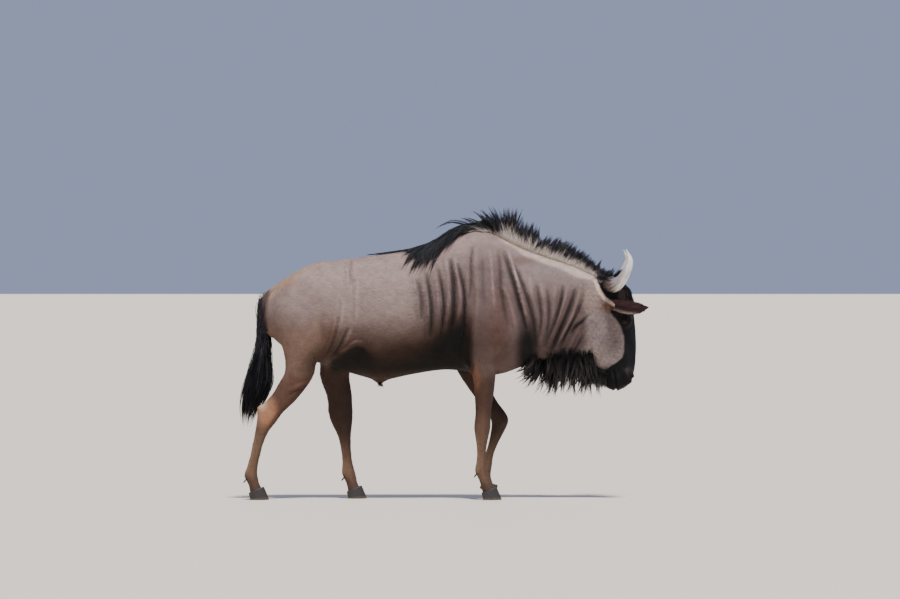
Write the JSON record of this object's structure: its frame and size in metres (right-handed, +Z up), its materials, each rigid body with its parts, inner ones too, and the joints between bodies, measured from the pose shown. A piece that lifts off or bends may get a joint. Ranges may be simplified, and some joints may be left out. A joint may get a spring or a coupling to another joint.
{
  "type": "blue wildebeest",
  "caption": "Life-size adult blue wildebeest bull walking with its head low, with curved horns, a stiff mane, a hanging beard, cloven hooves and a tufted tail.",
  "frame": {"origin": "on the floor, under the middle of the animal's bounding box", "axes": "+X the way the animal faces, +Y its left side, +Z up"},
  "size_m": [2.1023, 0.528, 1.4831],
  "materials": {
    "body_coat": "short grey-brown fur with dark vertical folds and black mane on the withers",
    "neck_coat": "short grey-brown fur with dark stripes, pale-based black mane, black beard",
    "head_coat": "short black fur on the face, grey cheek",
    "leg_coat": "short tan and brown fur",
    "ear_coat": "short dark brown fur with a pale lower edge",
    "tail_hair": "long black hair",
    "horn": "smooth pale horn, dark and rough at the base",
    "hoof": "dark dull horn",
    "eye": "wet dark brown"
  },
  "bodies": {
    "root": {"torso": "body_coat", "neck": "neck_coat", "head": "head_coat", "tail": "tail_hair", "right_foreleg": "leg_coat", "right_foreleg_right_claw": "hoof", "right_foreleg_left_claw": "hoof", "right_hindleg": "leg_coat", "right_hindleg_right_claw": "hoof", "right_hindleg_left_claw": "hoof", "right_horn": "horn", "right_ear": "ear_coat", "right_eye": "eye", "left_foreleg": "leg_coat", "left_foreleg_right_claw": "hoof", "left_foreleg_left_claw": "hoof", "left_hindleg": "leg_coat", "left_hindleg_right_claw": "hoof", "left_hindleg_left_claw": "hoof", "left_horn": "horn", "left_ear": "ear_coat", "left_eye": "eye"}
  },
  "joints": []
}
